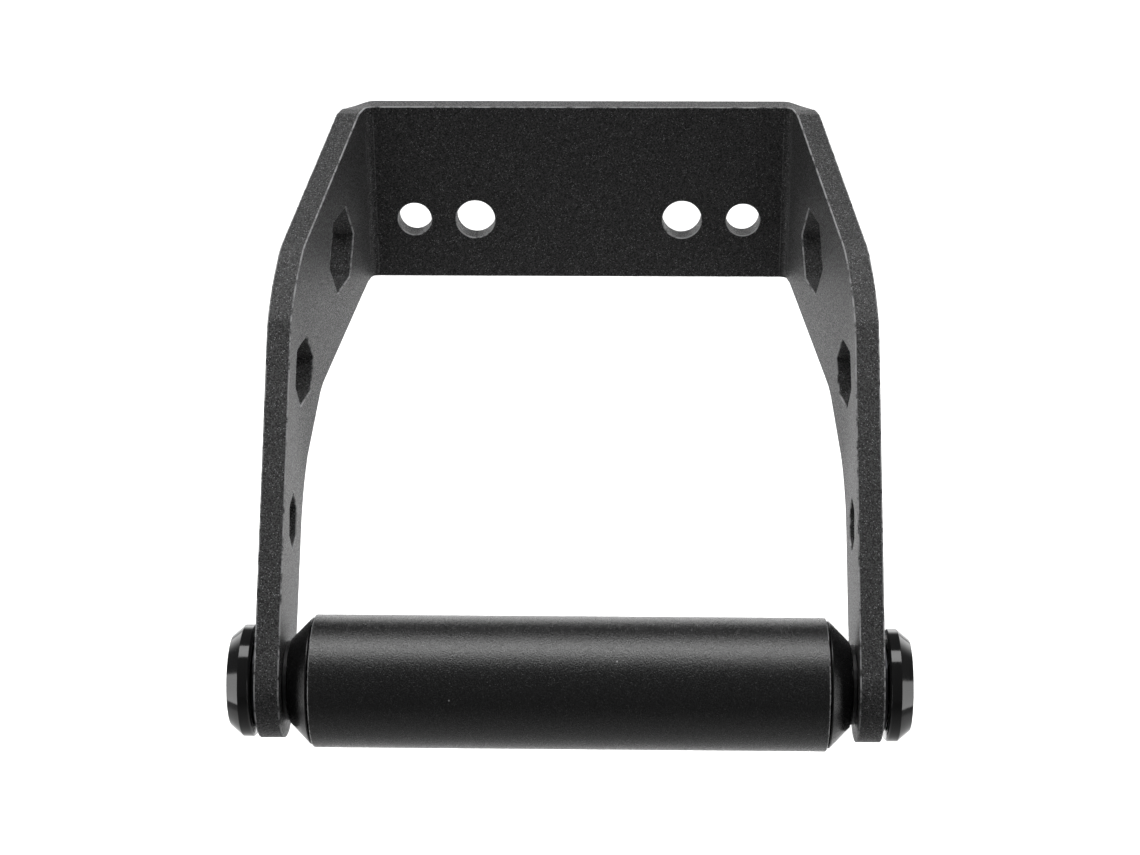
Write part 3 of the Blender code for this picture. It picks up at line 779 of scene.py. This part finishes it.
# the socket's rings go down as (depth, share of half its width across flats, how six-sided it is)
head = {
    "chamfer": 0.0025, "chamferLength": 0.003, "innerBevel": 0.0005, "bevelEdge": 0.0001, "edge": 0.00018,
    "shank": 0.004, "tipEdge": 0.0004, "reach": 0.018, "steps": 192, "socketWidth": 0.008,
    "socketRings": ((0, 1.35, 0.5), (0, 1.13, 0.98), (0, 1.08, 1.0), (0.0001, 1.05, 1.0), (0.0004, 1.0, 1.0),
                    (0.004, 1.0, 1.0), (0.004, 0.98, 1.0), (0.0046, 0.0, 1.0)),
}


def makeHead(name, sign):
    # Rings from the shank's tip out to the rim, over the chamfer to the face, and down a six-sided socket.
    # A ring's radius goes from round to six-sided as its hex share goes from 0 to 1.
    h, radius = head, outerRadius("axle_screw_right")
    low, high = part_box("axle_screw_right")
    start, end = low.x + h["reach"], high.x
    corners = [(low.x, 0.0), (low.x, h["shank"]), (start, h["shank"]), (start, radius - h["innerBevel"]),
               (start + h["innerBevel"], radius), (end - h["chamferLength"], radius),
               (end, radius - h["chamfer"]), (end, 0.0)]
    radii = [0, h["tipEdge"], 0, h["bevelEdge"], h["bevelEdge"], h["edge"], h["edge"], 0]
    outline = supported(roundedLoop(corners, radii))
    outline = outline[: np.flatnonzero(outline[:, 1] > h["shank"])[-1] + 1]
    outline = outline[: np.argmax(outline[:, 0] >= end - 1e-9) + 2]
    socket = np.array(h["socketRings"])
    socket = np.stack([end - socket[:, 0], socket[:, 1] * h["socketWidth"] / 2, socket[:, 2]], -1)
    rings = np.concatenate([np.column_stack([outline, np.zeros(len(outline))]), socket])
    angle = 2 * pi * np.arange(h["steps"]) / h["steps"]
    hexRadius = 1 / np.cos((angle + pi / 6) % (pi / 3) - pi / 6)
    out = rings[:, 1:2] * (1 + rings[:, 2:3] * (hexRadius - 1))
    points = np.stack([sign * rings[:, :1] + 0 * angle, axleY + out * np.cos(angle),
                       axleZ + out * np.sin(angle)], -1)
    faces = gridFaces(len(rings), len(angle), columnsClosed=True)
    meshPiece(f"axleHead_{name}", points.reshape(-1, 3), [faces], "bracket",
              f"axle_screw_{name}", finishes["gloss_head"], 35)


makeTube()
for sideName, sideSign in (("left", -1), ("right", 1)):
    makeCone(sideName, sideSign)
    makeHead(sideName, sideSign)
print("grip, cones and heads made")


camera = {"lens": 74.31, "sensor": 36.0, "clipStart": 0.02, "place": (0.01367, -0.61121, 0.20312),
          "turn": (65.765, 0.305, 1.409)}


def makeCamera():
    data = bpy.data.cameras.new("camera")
    data.lens, data.sensor_width, data.clip_start = camera["lens"], camera["sensor"], camera["clipStart"]
    viewer = bpy.data.objects.new("camera", data)
    viewer.location = camera["place"]
    viewer.rotation_euler = [radians(a) for a in camera["turn"]]
    scene.collection.objects.link(viewer)
    scene.camera = viewer


floor = {"drop": 0.55, "size": 14.0, "color": (0.56, 0.56, 0.56), "roughness": 0.9}


def makeFloor():
    half, level = floor["size"] / 2, -floor["drop"]
    corners = [(-half, -half, level), (half, -half, level), (half, half, level), (-half, half, level)]
    mesh = bpy.data.meshes.new("floor")
    mesh.from_pydata(corners, [], [(0, 1, 2, 3)])
    material, _, shader, _ = newMaterial("floorPaint", {"Roughness": floor["roughness"]})
    shader.inputs["Base Color"].default_value = (*floor["color"], 1.0)
    mesh.materials.append(material)
    sheet = bpy.data.objects.new("floor", mesh)
    scene.collection.objects.link(sheet)


# each light: place, the point it faces, width, height, watts, spread in degrees, whether gloss mirrors it
lights = {
    "overhead": ((0.0, -0.10, 0.75), (0.0, -0.10, 0.0), 1.3, 0.38, 3.6, 110, True),
    "leftPanel": ((-0.85, -0.10, -0.22), (0.0, -0.10, -0.10), 0.5, 0.45, 2.4, 180, True),
    "rightPanel": ((0.85, -0.10, -0.22), (0.0, -0.10, -0.10), 0.5, 0.45, 2.4, 180, True),
    "backWash": ((0.0, 1.95, 0.35), (0.0, 1.95, -0.5), 7.0, 3.4, 190.0, 80, False),
}


def makeLights():
    for name, (place, target, width, height, watts, spread, mirrored) in lights.items():
        data = bpy.data.lights.new(name, "AREA")
        data.shape, data.size, data.size_y, data.energy = "RECTANGLE", width, height, watts
        data.spread = radians(spread)
        lamp = bpy.data.objects.new(name, data)
        lamp.location = place
        lamp.rotation_euler = (Vector(target) - Vector(place)).to_track_quat("-Z", "Y").to_euler()
        lamp.visible_camera, lamp.visible_glossy = False, mirrored
        scene.collection.objects.link(lamp)


# strengths: what the camera sees, the light all round, and the pale backdrop low behind the piece,
# which starts and is full at the given directions, as parts of a unit vector
studio = {"seen": 1.1, "allRound": 0.15, "backdrop": 2.4, "behind": (0.45, 0.85), "low": (0.40, 0.10)}


def makeWorld():
    world = bpy.data.worlds.new("studio")
    world.use_nodes = True
    tree = world.node_tree
    white = (1, 1, 1, 1)
    seen = addNode(tree, "ShaderNodeBackground", {"Color": white, "Strength": studio["seen"]})
    lit = tree.nodes["Background"]
    lit.inputs["Color"].default_value = white
    toward = addNode(tree, "ShaderNodeSeparateXYZ", {
        "Vector": addNode(tree, "ShaderNodeTexCoord").outputs["Generated"]}).outputs
    backdrop = product(tree, stepMask(tree, toward["Y"], *studio["behind"]),
                       stepMask(tree, toward["Z"], *studio["low"]))
    tree.links.new(mixValue(tree, backdrop, studio["allRound"], studio["backdrop"]), lit.inputs["Strength"])
    byCamera = addNode(tree, "ShaderNodeLightPath").outputs["Is Camera Ray"]
    mix = addNode(tree, "ShaderNodeMixShader", {0: byCamera})
    tree.links.new(lit.outputs[0], mix.inputs[1])
    tree.links.new(seen.outputs[0], mix.inputs[2])
    tree.links.new(mix.outputs[0], tree.nodes["World Output"].inputs["Surface"])
    scene.world = world


makeCamera()
makeFloor()
makeLights()
makeWorld()
scene.view_settings.view_transform = "Standard"
print("camera, floor and light set")
